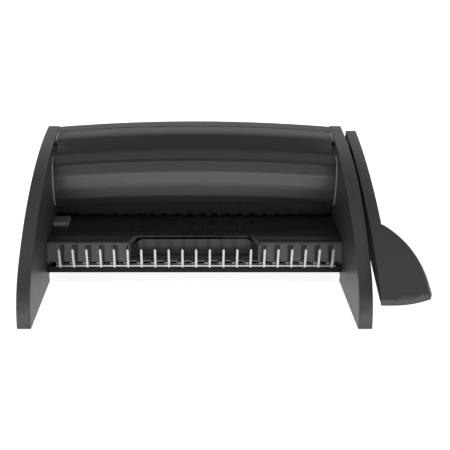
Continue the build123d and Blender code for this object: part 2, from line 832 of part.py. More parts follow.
with BuildPart() as die_plate:
    with BuildSketch(level_plane(deck_top - die_thick)):
        with Locations((0, (die_front + die_back) / 2)):
            Rectangle(2 * inner_x, die_back - die_front)
        add(pin_slots(pin_fit), mode=Mode.SUBTRACT)
    extrude(amount=die_thick)
save(die_plate.part, "die_plate")

guide_bottom = deck_top + throat_height
guide_front_y = wall_front + wall_thick
with BuildPart() as punch_guide:
    with BuildSketch(side_plane(-inner_x)):
        with BuildLine():
            Polyline(
                (guide_front_y, guide_top),
                (guide_front_y, deck_top + mouth_height),
                (guide_front_y + 2, guide_bottom),
                (guide_back, guide_bottom),
                (guide_back, guide_top),
                close=True,
            )
        make_face()
    extrude(amount=2 * inner_x)
    with BuildSketch(level_plane(guide_bottom - 1)):
        add(pin_slots(pin_fit))
    extrude(amount=guide_top - guide_bottom + 2, mode=Mode.SUBTRACT)
save(punch_guide.part, "punch_guide")

with BuildPart() as back_stop:
    stop_front = guide_back - 0.5
    with BuildSketch(side_plane(-inner_x)):
        with Locations((stop_front + stop_strip / 2, deck_top + throat_height / 2)):
            Rectangle(stop_strip, throat_height)
    extrude(amount=2 * inner_x)
save(back_stop.part, "back_stop")

with BuildPart() as slot_wall:
    wall_top = 84.0
    with BuildSketch(side_plane(-inner_x)):
        with Locations((wall_front + wall_thick / 2, (deck_top + mouth_height + wall_top) / 2)):
            Rectangle(wall_thick, wall_top - deck_top - mouth_height)
    extrude(amount=2 * inner_x)
save(slot_wall.part, "slot_wall")

bar_half = inner_x - 4.0
bar_back = pin_y + bar_thick / 2
with BuildPart() as punch_bar:
    with BuildSketch(level_plane(bar_bottom)):
        with Locations((0, pin_y)):
            Rectangle(2 * bar_half, bar_thick)
    extrude(amount=bar_top - bar_bottom)
    with BuildSketch(level_plane(bar_bottom)):
        add(pin_slots(push_fit))
    extrude(amount=pin_seat, mode=Mode.SUBTRACT)
save(punch_bar.part, "punch_bar")

with BuildPart() as punch_pins:
    with BuildSketch(level_plane(pin_bottom)):
        add(pin_slots(0))
    extrude(amount=bar_bottom + pin_seat - pin_bottom)
    # hollow-ground cutting edge
    with BuildSketch(side_plane(-inner_x)):
        with Locations((pin_y, pin_bottom)):
            Circle(0.9)
    extrude(amount=2 * inner_x, mode=Mode.SUBTRACT)
save(punch_pins.part, "punch_pins")

# each punch rack hangs behind its pinion and is joined to the bar by a web under it
punch_gap_at = rack_gap(punch_phase, 0)
rack_body = 6.0
web_top = punch_z - pinion_tip - stroke - 0.8
with BuildPart() as punch_racks:
    rack_start = bar_half - pinion_width
    rack_plane = Plane(
        origin=(rack_start - middle_x, punch_rack_line - middle_y, punch_z),
        x_dir=(0, 0, 1),
        z_dir=(1, 0, 0),
    )
    # local x runs up, local y runs forward to the pinion
    with BuildSketch(rack_plane):
        with BuildLine():
            tail = dedendum * rack_module + rack_body
            run = rack_points(-stroke - rack_margin, rack_margin, punch_gap_at, -tail)
            Polyline(*run, close=True)
        make_face()
    extrude(amount=pinion_width)
    with BuildSketch(side_plane(rack_start)):
        rack_back = punch_rack_line + dedendum * rack_module + rack_body
        with Locations(((bar_back + rack_back) / 2, (bar_bottom + web_top) / 2)):
            Rectangle(rack_back - bar_back, web_top - bar_bottom)
        lower = punch_z - stroke - rack_margin
        with Locations((rack_back - rack_body / 2, (bar_bottom + lower) / 2 + 0.5)):
            Rectangle(rack_body, lower - bar_bottom + 1)
        with Locations((bar_back + 1.5, (bar_bottom + web_top) / 2)):
            Rectangle(3.0, web_top - bar_bottom)
    extrude(amount=pinion_width)
    mirror(about=side_plane(0))
save(punch_racks.part, "punch_racks")


# ---------------------------------------------------------------- shafts, gears and bushes
def shaft_part(axis, radius, start, end):
    """A plain round shaft along the machine, with a small chamfer at each end."""
    with BuildPart() as shaft:
        with BuildSketch(side_plane(start)):
            with Locations(axis):
                Circle(radius)
        extrude(amount=end - start)
        chamfer(shaft.edges().filter_by(GeomType.CIRCLE), 0.5)
    return shaft.part


shaft_left = -hollow_x - 3.0
shaft_right = gear_x + gear_width + 0.4
save(shaft_part(lever_axis, lever_shaft_radius, inner_x + 0.3, arm_outer_x), "lever_shaft")
save(shaft_part(punch_axis, shaft_radius, shaft_left, shaft_right), "punch_shaft")
save(shaft_part(hook_axis, shaft_radius, shaft_left, shaft_right), "hook_shaft")

gears = (
    ("lever_gear", lever_axis, lever_teeth, lever_phase, lever_shaft_radius + push_fit),
    ("punch_gear", punch_axis, shaft_teeth, punch_phase, shaft_radius + push_fit),
    ("idler_gear", idler_axis, idler_teeth, idler_phase, shaft_radius + run_fit),
    ("hook_gear", hook_axis, shaft_teeth, hook_phase, shaft_radius + push_fit),
)
for name, axis, teeth, phase, bore in gears:
    save(gear_part(axis, teeth, train_module, phase, bore, gear_x, gear_width), name)

for name, axis, phase, start in (
    ("punch_pinions", punch_axis, punch_phase, bar_half - pinion_width),
    ("hook_pinions", hook_axis, hook_phase, rack_x - rack_half),
):
    width = pinion_width if name == "punch_pinions" else 2 * rack_half
    with BuildPart() as pinions:
        add(gear_part(axis, pinion_teeth, rack_module, phase, shaft_radius + push_fit, start, width))
        mirror(about=side_plane(0))
    save(pinions.part, name)

flange_thick = 0.8
flange_extra = 1.5
with BuildPart() as shaft_bushes:
    places = [
        (punch_axis, shaft_radius, 1),
        (punch_axis, shaft_radius, -1),
        (hook_axis, shaft_radius, 1),
        (hook_axis, shaft_radius, -1),
        (lever_axis, lever_shaft_radius, 1),
    ]
    for axis, radius, side in places:
        with BuildSketch(side_plane(side * inner_x)):
            with Locations(axis):
                Circle(radius + bush_wall)
                Circle(radius + run_fit, mode=Mode.SUBTRACT)
        extrude(amount=side * panel_wall)
        with BuildSketch(side_plane(side * hollow_x)):
            with Locations(axis):
                Circle(radius + bush_wall + flange_extra)
                Circle(radius + run_fit, mode=Mode.SUBTRACT)
        extrude(amount=side * flange_thick)
save(shaft_bushes.part, "shaft_bushes")

with BuildPart() as cap_bush:
    with BuildSketch(side_plane(cap_x)):
        with Locations(lever_axis):
            Circle(lever_shaft_radius + bush_wall)
            Circle(lever_shaft_radius + run_fit, mode=Mode.SUBTRACT)
    extrude(amount=cap_thick)
save(cap_bush.part, "cap_bush")

with BuildPart() as idler_axle:
    with BuildSketch(side_plane(inner_x)):
        with Locations(idler_axis):
            Circle(shaft_radius)
    extrude(amount=cap_x - inner_x - 0.2)
save(idler_axle.part, "idler_axle")


def shaft_clip(axis):
    """Push-on retaining ring on the left end of a shaft, outside its bush."""
    with BuildPart() as ring:
        with BuildSketch(side_plane(-hollow_x - flange_thick - 0.3)):
            with Locations(axis):
                Circle(shaft_radius + 2.6)
                Circle(shaft_radius + push_fit, mode=Mode.SUBTRACT)
        extrude(amount=-0.8)
    return ring.part


save(shaft_clip(punch_axis), "punch_shaft_clip")
save(shaft_clip(hook_axis), "hook_shaft_clip")


# ---------------------------------------------------------------- lever
tip_top = (arm_tip_y, arm_tip_z)
heel_top = (arm_heel_y, arm_heel_z)
chord = hypot(arm_heel_y - arm_tip_y, arm_heel_z - arm_tip_z)
arm_radius = (chord**2 / 4 + arm_bow**2) / (2 * arm_bow)
with BuildPart() as paddle:
    chord_angle = atan2(arm_heel_z - arm_tip_z, arm_heel_y - arm_tip_y)
    reach = arm_radius - arm_bow
    bow_y = (arm_tip_y + arm_heel_y) / 2 + reach * sin(chord_angle)
    bow_z = (arm_tip_z + arm_heel_z) / 2 - reach * cos(chord_angle)
    with BuildSketch(side_plane(arm_x)):
        with Locations((bow_y, bow_z)):
            Circle(arm_radius)
            Circle(arm_radius - paddle_thick, mode=Mode.SUBTRACT)
        with Locations(((arm_tip_y + paddle_root_y + 2) / 2, panel_height / 2)):
            Rectangle(paddle_root_y + 2 - arm_tip_y, panel_height, mode=Mode.INTERSECT)
    extrude(amount=arm_width + paddle_reach)
    with BuildSketch(level_plane(0)):
        outer = arm_outer_x + paddle_reach
        with BuildLine():
            swell = (arm_outer_x + 27.4, 37.2)
            side_edge = ThreePointArc((arm_outer_x, paddle_root_y), swell, (outer, 2.0))
            corner = (outer, arm_tip_y + paddle_sweep)
            Line(side_edge @ 1, corner)
            front_edge = TangentArc((arm_outer_x, arm_tip_y), corner, tangent=(1, 0))
            Polyline(
                front_edge @ 0,
                (arm_x, arm_tip_y),
                (arm_x, paddle_root_y),
                (arm_outer_x, paddle_root_y),
            )
        make_face()
    extrude(amount=panel_height, mode=Mode.INTERSECT)
    upright = paddle.edges().filter_by(lambda e: e.center().X > outer - middle_x - 1 and e.length < 12)
    fillet(upright.sort_by(Axis.Y)[:1], 4.0)
    lower_front = paddle.faces().sort_by(Axis.Z)[0].edges().sort_by(Axis.Y)[:1]
    chamfer(lower_front, paddle_thick - tip_edge)

hub_drop = 15.0
with BuildPart() as lever:
    with BuildSketch(side_plane(arm_x)):
        with BuildLine():
            top = SagittaArc(tip_top, heel_top, arm_bow)
            Line(heel_top, (arm_heel_y, pivot_z - 6))
            hub = ThreePointArc(
                (arm_heel_y, pivot_z - 6),
                (pivot_y + 4, pivot_z - hub_drop - 0.5),
                (pivot_y - 14, pivot_z - hub_drop + 1.5),
            )
            Polyline(
                hub @ 1,
                (arm_tip_y + tip_slope, arm_tip_z - tip_edge - 0.5 * tip_slope),
                (arm_tip_y, arm_tip_z - tip_edge),
                tip_top,
            )
        make_face()
    extrude(amount=arm_width)
    with BuildSketch(side_plane(outer_x + slide_gap)):
        with Locations(lever_axis):
            Circle(collar_radius)
    extrude(amount=arm_gap)
    add(paddle.part)
    with BuildSketch(side_plane(outer_x)):
        with Locations(lever_axis):
            Circle(lever_shaft_radius + push_fit)
    extrude(amount=arm_width + arm_gap + 1, mode=Mode.SUBTRACT)
save(lever.part, "lever")

with BuildPart() as lever_screw:
    with BuildSketch(side_plane(arm_outer_x)):
        with Locations(lever_axis):
            Circle(8.0)
    extrude(amount=2.4)
    chamfer(lever_screw.faces().sort_by(Axis.X)[-1].edges(), 0.8)
    with BuildSketch(side_plane(arm_outer_x + 2.4)):
        with Locations(lever_axis):
            RegularPolygon(2.9, 6)
    extrude(amount=-1.4, mode=Mode.SUBTRACT)
save(lever_screw.part, "lever_screw")


# ---------------------------------------------------------------- base pan and chip tray
with BuildPart() as base_pan:
    pan_front = rear_web + 0.3
    with BuildSketch(side_plane(-cover_x)):
        with BuildLine():
            FilletPolyline(
                (pan_front, channel_bottom + pan_thick / 2),
                (pan_front + 4, channel_bottom + pan_thick / 2),
                (pan_front + 13, pan_top - pan_thick / 2),
                (rear_y - 4, pan_top - pan_thick / 2),
                radius=3,
            )
        trace(line_width=pan_thick)
    extrude(amount=2 * cover_x)
    base_screw_places = [(inner_x - block_size / 2, y) for y in (block_front_y, block_back_y)]
    with BuildSketch(level_plane(pan_top - pan_thick - 1)):
        with Locations(*base_screw_places, *[(-x, y) for x, y in base_screw_places]):
            Circle(cap_screw_radius + 0.2)
    extrude(amount=pan_thick + 2, mode=Mode.SUBTRACT)
save(base_pan.part, "base_pan")

with BuildPart() as base_screws:
    with BuildSketch(level_plane(pan_top - pan_thick - 1.2)):
        with Locations(*base_screw_places):
            Circle(cap_head_radius)
            Rectangle(3.6, 0.8, mode=Mode.SUBTRACT)
            Rectangle(0.8, 3.6, mode=Mode.SUBTRACT)
    extrude(amount=0.7)
    with BuildSketch(level_plane(pan_top - pan_thick - 0.5)):
        with Locations(*base_screw_places):
            Circle(cap_head_radius)
    extrude(amount=0.5)
    with BuildSketch(level_plane(pan_top - pan_thick)):
        with Locations(*base_screw_places):
            Circle(cap_screw_radius - 0.02)
    extrude(amount=7)
    mirror(about=side_plane(0))
save(base_screws.part, "base_screws")

with BuildPart() as chip_tray:
    tray_back = rear_edge(tray_top) - 0.3
    face_thick = 2.5
    with BuildSketch(level_plane(pan_top + slide_gap)):
        with Locations((0, (tray_front + tray_back) / 2)):
            RectangleRounded(2 * tray_half, tray_back - tray_front, 3)
    extrude(amount=tray_top - pan_top - slide_gap)
    with BuildSketch(level_plane(pan_top + slide_gap + tray_wall)):
        with Locations((0, (tray_front + tray_wall + tray_back - face_thick) / 2)):
            RectangleRounded(
                2 * (tray_half - tray_wall), tray_back - face_thick - tray_front - tray_wall, 2
            )
    extrude(amount=tray_top, mode=Mode.SUBTRACT)
    # finger pull: a lip under a shallow scoop in the rear face
    with BuildSketch(front_plane(tray_back + 1)):
        with Locations((0, (pan_top + tray_top) / 2 - 1)):
            SlotOverall(70, 13)
    extrude(amount=2.4, mode=Mode.SUBTRACT)
save(chip_tray.part, "chip_tray")
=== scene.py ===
import bmesh
import bpy
import json
from math import pi, radians
from mathutils import Matrix, Vector


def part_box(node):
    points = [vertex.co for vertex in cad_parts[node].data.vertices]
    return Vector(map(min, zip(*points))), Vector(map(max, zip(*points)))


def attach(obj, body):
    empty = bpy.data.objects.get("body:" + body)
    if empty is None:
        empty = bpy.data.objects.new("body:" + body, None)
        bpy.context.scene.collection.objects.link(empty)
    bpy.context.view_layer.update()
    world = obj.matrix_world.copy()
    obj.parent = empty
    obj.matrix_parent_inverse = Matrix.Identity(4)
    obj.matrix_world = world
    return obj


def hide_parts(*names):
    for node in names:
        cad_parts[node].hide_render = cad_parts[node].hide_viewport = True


bl_info = {
    "name": "Comb binding machine",
    "version": (1, 0, 0),
    "blender": (4, 5, 0),
    "location": "3D View > Sidebar > Binder",
    "description": "Builds the looks of a hand-lever comb binding machine around its frame",
    "category": "Object",
}

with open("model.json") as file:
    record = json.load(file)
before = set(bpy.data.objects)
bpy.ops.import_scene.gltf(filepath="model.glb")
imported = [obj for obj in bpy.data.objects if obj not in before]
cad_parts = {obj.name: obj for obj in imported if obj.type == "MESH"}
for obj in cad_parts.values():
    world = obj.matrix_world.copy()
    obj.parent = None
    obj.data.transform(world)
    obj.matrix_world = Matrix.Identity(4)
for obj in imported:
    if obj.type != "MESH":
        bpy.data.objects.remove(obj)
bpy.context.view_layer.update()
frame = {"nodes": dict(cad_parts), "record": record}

MM = 0.001
MERGE = 1e-6
NEAR = 0.02 * MM
LEVEL_EDGE = 0.5                # faces that meet below this angle lie in one plane
SOFT_EDGE = 40.0                # edges below this angle are shaded as one surface
FLAT_SHARE = 4.0                # a face this many times its neighbours' size is flat
ALIGNED = 0.99                  # share of an edge's run along x that counts as lengthwise
BEAM_LOW = 40 * MM              # the beam's splayed edges all lie above this
BEAM_TOP_LIP = 2 * MM           # strip under the deck's top that keeps the deck's finish
RECESS_HALF = 67 * MM           # half the finger recess's width at the beam's face
END_HIGHLIGHT_WIDTH = 1.3 * MM            # width of the painted highlight strip at each end of the front cover
PARTING_ROUND = 0.9 * MM        # rounding of the covers along their joint
BEAM_DROP = 3.0 * MM            # from the deck down to the top of the beam's face
BEAM_ROUND = 1.2 * MM           # rounding along the top of the beam's face
SPLAY_ROUND = 3.5 * MM          # rounding of the finger recess's splayed mouth
LEVER_ROUND = 1.2 * MM          # rounding of the lever, broader than on the other mouldings
EDGE_MARK = "rubbed_edge"       # attribute that is 1 on rounded edges, where hands rub
PRINT_LIFT = 0.03 * MM          # printed marks above the label film
SPECIAL_SEGMENTS = 3            # steps of a special rounding
ROUND_PROFILE = 0.5             # profile of a circular rounding
LONG_ENOUGH = 3.0               # an edge shorter than this many roundings stays sharp
FLAT = 0.02                     # degrees between triangles of one flat face


# ------------------------------------------------------------------ settings
class BinderSettings(bpy.types.PropertyGroup):
    """Sizes and colours of the machine's looks."""

    shell_colour: bpy.props.FloatVectorProperty(
        name="Shell", description="Colour of the side panels, rim and lever",
        subtype="COLOR", size=3, min=0, max=1, default=(0.026, 0.0265, 0.028))
    cover_colour: bpy.props.FloatVectorProperty(
        name="Cover", description="Colour of the front cover",
        subtype="COLOR", size=3, min=0, max=1, default=(0.012, 0.0123, 0.0135))
    deck_colour: bpy.props.FloatVectorProperty(
        name="Deck", description="Colour of the paper deck and beam",
        subtype="COLOR", size=3, min=0, max=1, default=(0.015, 0.0153, 0.0165))
    guide_colour: bpy.props.FloatVectorProperty(
        name="Edge guide", description="Colour of the paper edge guide",
        subtype="COLOR", size=3, min=0, max=1, default=(0.10, 0.10, 0.105))
    edge_round: bpy.props.FloatProperty(
        name="Edge rounding", description="Width of the rounding on moulded edges",
        subtype="DISTANCE", unit="LENGTH", min=0, default=0.45 * MM)
    sheet_edge: bpy.props.FloatProperty(
        name="Sheet edge", description="Width of the broken edge on sheet steel",
        subtype="DISTANCE", unit="LENGTH", min=0, default=0.2 * MM)
    floor_size: bpy.props.FloatProperty(
        name="Floor", description="Side of the pale floor",
        subtype="DISTANCE", unit="LENGTH", min=1, default=12.0)


def settings():
    """The settings that the operators read."""
    return bpy.context.scene.binder


# ------------------------------------------------------------------ shader maths
class Wire:
    """An output socket that takes part in Python sums, each adding its Math node."""

    def __init__(self, tree, socket):
        self.tree = tree
        self.socket = socket

    def math(self, operation, first, second=None):
        node = self.tree.nodes.new("ShaderNodeMath")
        node.operation = operation
        for slot, value in enumerate((first, second)):
            if value is not None:
                plug(self.tree, node.inputs[slot], value)
        return Wire(self.tree, node.outputs[0])

    def __add__(self, other):
        return self.math("ADD", self, other)

    def __radd__(self, other):
        return self.math("ADD", other, self)

    def __sub__(self, other):
        return self.math("SUBTRACT", self, other)

    def __rsub__(self, other):
        return self.math("SUBTRACT", other, self)

    def __mul__(self, other):
        return self.math("MULTIPLY", self, other)

    def __rmul__(self, other):
        return self.math("MULTIPLY", other, self)


def plug(tree, socket, value):
    """Link a wire to a socket, or set the socket to a plain value."""
    if isinstance(value, Wire):
        tree.links.new(value.socket, socket)
    else:
        socket.default_value = value


class Finish:
    """A material under construction around one Principled shader."""

    def __init__(self, name, **constants):
        self.material = bpy.data.materials.new(name)
        self.material.use_nodes = True
        self.tree = self.material.node_tree
        self.tree.nodes.clear()
        self.shader = self.tree.nodes.new("ShaderNodeBsdfPrincipled")
        output = self.tree.nodes.new("ShaderNodeOutputMaterial")
        self.tree.links.new(self.shader.outputs[0], output.inputs[0])
        for label, value in constants.items():
            self.set(label.replace("_", " ").title().replace("Ior", "IOR"), value)
        self.place = self.node("ShaderNodeTexCoord", out="Object")

    def node(self, kind, options=None, out=0, **inputs):
        """Add a node: its options first, then its sockets; the wire of one output comes back."""
        node = self.tree.nodes.new(kind)
        for label, value in (options or {}).items():
            setattr(node, label, value)
        for label, value in inputs.items():
            key = int(label[1:]) if label[0] == "_" else label.replace("_", " ")
            plug(self.tree, node.inputs[key], value)
        return Wire(self.tree, node.outputs[out])

    def set(self, label, value):
        plug(self.tree, self.shader.inputs[label], value)

    def noise(self, scale, detail=2.0, rough=0.5, stretch=None):
        """Value noise on the piece, at scale features per metre, stretched along an axis if asked."""
        place = self.place
        if stretch:
            place = self.node("ShaderNodeMapping", Vector=place, Scale=stretch)
        return self.node("ShaderNodeTexNoise", Vector=place, Scale=scale, Detail=detail, Roughness=rough)

    def wear(self):
        """How far the surface is rubbed: patches along the rounded edges, nothing elsewhere."""
        mark = self.node("ShaderNodeAttribute", {"attribute_name": EDGE_MARK}, out="Fac")
        return mark * self.noise(160.0, 3.0, 0.65)

    def mix(self, share, first, second):
        """Blend two colours."""
        return self.node("ShaderNodeMix", {"data_type": "RGBA"}, out=2, _0=share, _6=first, _7=second)

    def bump(self, height, strength, distance):
        """Relief that feeds the shader's normal."""
        relief = self.node("ShaderNodeBump", Height=height, Strength=strength, Distance=distance)
        self.set("Normal", relief)


def shade(colour, factor):
    """A colour made lighter or darker, with alpha."""
    return tuple(min(1.0, channel * factor) for channel in colour) + (1.0,)


# ------------------------------------------------------------------ finishes
def moulded(name, colour, roughness, grain, pebble=2600.0, uneven=0.06):
    """Injection-moulded plastic: fine spark grain, slight flow marks and handling haze."""
    finish = Finish(name, specular_ior_level=0.5)
    cloud = finish.noise(9.0, 3.0)
    haze = finish.noise(38.0, 4.0, 0.6)
    spark = finish.noise(pebble, 2.0, 0.6)
    wear = finish.wear()
    body = finish.mix(cloud, shade(colour, 0.86), shade(colour, 1.16))
    finish.set("Base Color", finish.mix(wear, body, shade(colour, 1.7)))
    finish.set("Roughness", roughness + (haze - 0.5) * uneven + (spark - 0.5) * 0.04 - wear * 0.12)
    finish.bump(spark, grain, 0.08 * MM)
    return finish.material


def rolled_steel(name, colour, roughness, along=(1, 40, 40)):
    """Zinc-plated or ground sheet: fine rolling lines, cloudy plating and dull patches."""
    finish = Finish(name, metallic=1.0)
    lines = finish.noise(420.0, 3.0, 0.6, stretch=along)
    patches = finish.noise(60.0, 3.0, 0.6)
    wear = finish.wear()
    plating = finish.mix(patches, shade(colour, 0.88), shade(colour, 1.10))
    finish.set("Base Color", finish.mix(wear, plating, shade(colour, 1.35)))
    finish.set("Roughness", roughness + (lines - 0.5) * 0.20 + (patches - 0.5) * 0.14 - wear * 0.1)
    finish.bump(lines, 0.25, 0.03 * MM)
    return finish.material


def sintered(name, colour, roughness):
    """Pressed and sintered metal: grainy, a little oily."""
    finish = Finish(name, metallic=1.0)
    grains = finish.noise(3800.0, 2.0, 0.7)
    oil = finish.noise(90.0, 3.0)
    finish.set("Base Color", finish.mix(oil, shade(colour, 0.75), shade(colour, 1.12)))
    finish.set("Roughness", roughness + (grains - 0.5) * 0.25)
    finish.bump(grains, 0.5, 0.05 * MM)
    return finish.material


def painted(name, colour, roughness):
    """Black stoved paint on sheet steel: faint orange peel."""
    finish = Finish(name, specular_ior_level=0.15)
    peel = finish.noise(900.0, 1.0)
    cloud = finish.noise(30.0, 3.0)
    wear = finish.wear()
    coat = finish.mix(cloud, shade(colour, 0.85), shade(colour, 1.2))
    finish.set("Base Color", finish.mix(wear, coat, shade(colour, 4.0)))
    finish.set("Roughness", roughness + (cloud - 0.5) * 0.12 - wear * 0.15)
    finish.bump(peel, 0.3, 0.05 * MM)
    return finish.material


def rubber(name, colour):
    """Soft moulded rubber with bloom and fine grain."""
    finish = Finish(name)
    grain = finish.noise(2200.0, 3.0, 0.7)
    bloom = finish.noise(140.0, 4.0, 0.6)
    finish.set("Base Color", finish.mix(bloom, shade(colour, 0.8), shade(colour, 1.7)))
    finish.set("Roughness", 0.82 + (bloom - 0.5) * 0.15)
    finish.bump(grain, 0.6, 0.08 * MM)
    return finish.material


_finishes = {}


def finish_for(slot):
    """The material of a record slot, made once."""
    if slot in _finishes:
        return _finishes[slot]
    chosen = settings()
    makers = {
        "panel_plastic": lambda: moulded("panel plastic", chosen.shell_colour, 0.42, 0.22),
        "cover_plastic": lambda: moulded("cover plastic", chosen.cover_colour, 0.34, 0.06, uneven=0.03),
        "deck_plastic": lambda: moulded("deck plastic", chosen.deck_colour, 0.25, 0.03, uneven=0.02),
        "lever_plastic": lambda: moulded("lever plastic", chosen.shell_colour, 0.42, 0.22),
        "tray_plastic": lambda: moulded("tray plastic", (0.022, 0.022, 0.024), 0.48, 0.40),
        "guide_plastic": lambda: moulded("edge guide plastic", chosen.guide_colour, 0.45, 0.25),
        "label_film": lambda: moulded("label film", (0.017, 0.017, 0.018), 0.26, 0.03, 900.0, uneven=0.02),
        "bright_steel": lambda: rolled_steel("bright zinc", (0.50, 0.51, 0.52), 0.34),
        # black paint, made darker than the paint alone: painted shade for the comb plate's shadow over the
        # channel
        "black_steel": lambda: painted("black paint darkened as painted shade", (0.004, 0.004, 0.0045), 0.55),
        "punch_steel": lambda: rolled_steel("blackened tool steel", (0.055, 0.055, 0.06), 0.40),
        "gear_steel": lambda: sintered("sintered steel", (0.36, 0.36, 0.36), 0.45),
        "bush_bronze": lambda: sintered("sintered bronze", (0.52, 0.34, 0.16), 0.42),
        "screw_steel": lambda: rolled_steel("black zinc screw", (0.12, 0.12, 0.125), 0.35, (8, 8, 8)),
        "foot_rubber": lambda: rubber("foot rubber", (0.012, 0.012, 0.012)),
    }
    _finishes[slot] = makers[slot]()
    return _finishes[slot]


# ------------------------------------------------------------------ pieces
def slot_of(node):
    """The record's material slot of a CAD node."""
    for row in frame["record"]["subparts"]:
        if row["node"] == node:
            return row["material_slot"]
    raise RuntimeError(f"the record gives {node} no material slot")


def body_of(node):
    """The body that a CAD node rides on."""
    for body, members in frame["record"]["behaviour"]["bodies"].items():
        if node in members:
            return body
    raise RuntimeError(f"the record puts {node} on no body")


def keep(*nodes):
    """Carry CAD nodes over as they are, with their proper finish."""
    for node in nodes:
        piece = frame["nodes"][node]
        piece.data.materials.clear()
        piece.data.materials.append(finish_for(slot_of(node)))


def add_piece(name, shape, node, finish=None):
    """Turn a bmesh into an object that rides with a CAD node's body, in its slot."""
    mesh = bpy.data.meshes.new(name)
    shape.to_mesh(mesh)
    shape.free()
    piece = bpy.data.objects.new(name, mesh)
    bpy.context.scene.collection.objects.link(piece)
    mesh.materials.append(finish or finish_for(slot_of(node)))
    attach(piece, body_of(node))
    return piece


def curved_faces(shape):
    """For each face whether it is curved or rounded, so that the large flat ones stay flat."""
    shape.normal_update()
    shape.faces.index_update()
    curved = []
    areas = {face.index: face.calc_area() for face in shape.faces}
    for face in shape.faces:
        beside = [other for edge in face.edges if edge.is_manifold
                  and radians(LEVEL_EDGE) < edge.calc_face_angle() < radians(SOFT_EDGE)
                  for other in edge.link_faces if other is not face]
        curved.append(any(areas[other.index] * FLAT_SHARE > areas[face.index] for other in beside))
    return curved


def edges_at(axis, place):
    """A test for edges that lie in the plane where an axis has a value."""
    return lambda edge: all(abs(vert.co[axis] - place) < NEAR for vert in edge.verts)


def repaint(piece, finish, wanted):
    """Give the faces that pass a test a second finish."""
    piece.data.materials.append(finish)
    for face in piece.data.polygons:
        if wanted(face):
            face.material_index = 1


def direction(edge):
    """The direction in which an edge runs, one unit long."""
    return (edge.verts[1].co - edge.verts[0].co).normalized()


def splayed_edge(edge):
    """Whether an edge is one of the two that splay the finger recess's mouth."""
    run = direction(edge)
    on_beam = min(vert.co.z for vert in edge.verts) > BEAM_LOW
    return on_beam and abs(run.x) > 0.3 and abs(run.y) > 0.5 and abs(run.z) > 0.1


def lengthwise_at(height):
    """A test for edges that run along the machine at a height."""
    at_height = edges_at(2, height)
    return lambda edge: abs(direction(edge).x) > ALIGNED and at_height(edge)


def rounded(node, name, width, segments=2, angle=28.0, special=(), cuts=(), finish=None):
    """Replace a CAD node with its merged copy, flat faces joined and edges rounded.

    special lists tests for edges that have a rounding of their own, each with that rounding;
    cuts lists places along x where the faces are divided."""
    shape = bmesh.new()
    shape.from_mesh(frame["nodes"][node].data)
    worn = shape.faces.layers.float.new(EDGE_MARK)
    bmesh.ops.remove_doubles(shape, verts=shape.verts, dist=MERGE)
    bmesh.ops.dissolve_limit(
        shape, angle_limit=radians(FLAT), verts=shape.verts, edges=shape.edges, delimit=set())
    for wanted, own_width in special:
        chosen = [edge for edge in shape.edges
                  if wanted(edge) and edge.is_manifold and edge.calc_face_angle() > radians(angle)]
        bmesh.ops.bevel(
            shape, geom=chosen, offset=own_width, offset_type="OFFSET", segments=SPECIAL_SEGMENTS,
            profile=ROUND_PROFILE, affect="EDGES", clamp_overlap=False, material=-1)
    sharp = [edge for edge in shape.edges
             if edge.is_manifold and edge.calc_face_angle() > radians(angle)
             and edge.calc_length() > LONG_ENOUGH * width]
    edges = bmesh.ops.bevel(
        shape, geom=sharp, offset=width, offset_type="OFFSET", segments=segments,
        profile=ROUND_PROFILE, affect="EDGES", clamp_overlap=True, material=-1)
    for face in edges["faces"]:
        face[worn] = 1.0
    for place in cuts:
        bmesh.ops.bisect_plane(
            shape, geom=shape.verts[:] + shape.edges[:] + shape.faces[:],
            plane_co=(place, 0, 0), plane_no=(1, 0, 0))
    curved = curved_faces(shape)
    piece = add_piece(name, shape, node, finish)
    piece.data.set_sharp_from_angle(angle=radians(SOFT_EDGE))
    piece.data.polygons.foreach_set("use_smooth", curved)
    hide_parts(node)
    return piece


class BinderOperator(bpy.types.Operator):
    """Shared ground of the machine's operators."""

    bl_options = {"REGISTER", "UNDO"}


class BINDER_OT_side_panels(BinderOperator):
    """Side panels with their outer caps and rubber feet."""

    bl_idname = "binder.side_panels"
    bl_label = "Side panels"

    def execute(self, context):
        for side in ("right", "left"):
            rounded(f"{side}_side_panel", f"{side}_panel_shell", settings().edge_round)
            rounded(f"{side}_side_cap", f"{side}_cap_plate", settings().edge_round)
        rounded("rubber_feet", "foot_pads", settings().edge_round)
        return {"FINISHED"}


class BINDER_OT_covers(BinderOperator):
    """Front cover, rear cover and the clips between them."""

    bl_idname = "binder.covers"
    bl_label = "Covers"

    def execute(self, context):
        low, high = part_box("front_cover")
        inner = (low.x + END_HIGHLIGHT_WIDTH, high.x - END_HIGHLIGHT_WIDTH)
        cover = rounded("front_cover", "front_cover_shell", settings().edge_round, cuts=inner,
                        special=((edges_at(1, high.y), PARTING_ROUND),))
        # the cover's end strips get a light grey colour: a painted highlight, standing in for light caught
        # on the cover's end lips
        end_highlight = moulded("cover end painted highlight", (0.22, 0.22, 0.225), 0.35, 0.1)
        repaint(cover, end_highlight, lambda face: not inner[0] < face.center.x < inner[1])
        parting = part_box("rear_cover")[0].y
        rounded("rear_cover", "rear_cover_shell", settings().edge_round,
                special=((edges_at(1, parting), PARTING_ROUND),))
        spring = rolled_steel("spring steel", (0.10, 0.10, 0.105), 0.38)
        rounded("cover_clips", "clip_springs", settings().sheet_edge, finish=spring)
        return {"FINISHED"}


# ------------------------------------------------------------------ label print
PRINT_LINE = 0.5 * MM           # line of the printed frames
RULE_LINE = 0.4 * MM            # the two rules under the frames
CELL_SHARE = 0.145              # one frame's share of the label's width
ROW_SHARE = 0.62                # the row of frames' share of the label's depth
FRAME_COUNT = 4
TEXT_BARS = (1.0, 0.93, 0.97, 0.88, 0.95, 0.62)    # reach of each plain bar in the left field
BAR_STEP = 0.165                # from bar to bar, as a share of the row's depth


